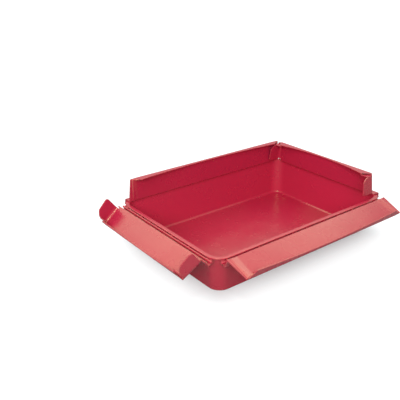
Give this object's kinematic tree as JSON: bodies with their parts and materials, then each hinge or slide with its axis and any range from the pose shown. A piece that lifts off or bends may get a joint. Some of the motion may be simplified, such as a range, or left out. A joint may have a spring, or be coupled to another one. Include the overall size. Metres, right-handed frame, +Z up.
{
  "type": "cat litter pan",
  "caption": "Open plastic cat litter pan with rounded corners; its rim is made of hinged panels that stand up round the pan or fold outward over its edge.",
  "frame": {"origin": "centre of the pan's underside, on the floor", "axes": "+X along the pan's long side, +Y along its short side, +Z up"},
  "size_m": [0.5509, 0.3986, 0.1375],
  "materials": {
    "pan_plastic": "semi-gloss",
    "panel_plastic": "semi-gloss"
  },
  "bodies": {
    "pan": {"pan": "pan_plastic"},
    "front_panel": {"front_panel": "panel_plastic"},
    "back_panel": {"back_panel": "panel_plastic"},
    "left_end_panel": {"left_end_panel": "panel_plastic"},
    "right_end_panel": {"right_end_panel": "panel_plastic"}
  },
  "joints": [
    {"name": "left_end_hinge", "type": "hinge", "parent": "pan", "child": "left_end_panel", "pos_m": [-0.24, 0, 0.0795], "axis": [0, 1, 0], "range_deg": [0, 128]},
    {"name": "front_hinge", "type": "hinge", "parent": "pan", "child": "front_panel", "pos_m": [0, -0.165, 0.0795], "axis": [-1, 0, 0], "range_deg": [0, 110]},
    {"name": "right_end_hinge", "type": "hinge", "parent": "pan", "child": "right_end_panel", "pos_m": [0.24, 0, 0.0795], "axis": [0, 1, 0], "range_deg": [0, 128]},
    {"name": "back_hinge", "type": "hinge", "parent": "pan", "child": "back_panel", "pos_m": [0, 0.165, 0.0795], "axis": [-1, 0, 0], "range_deg": [0, 110]}
  ]
}
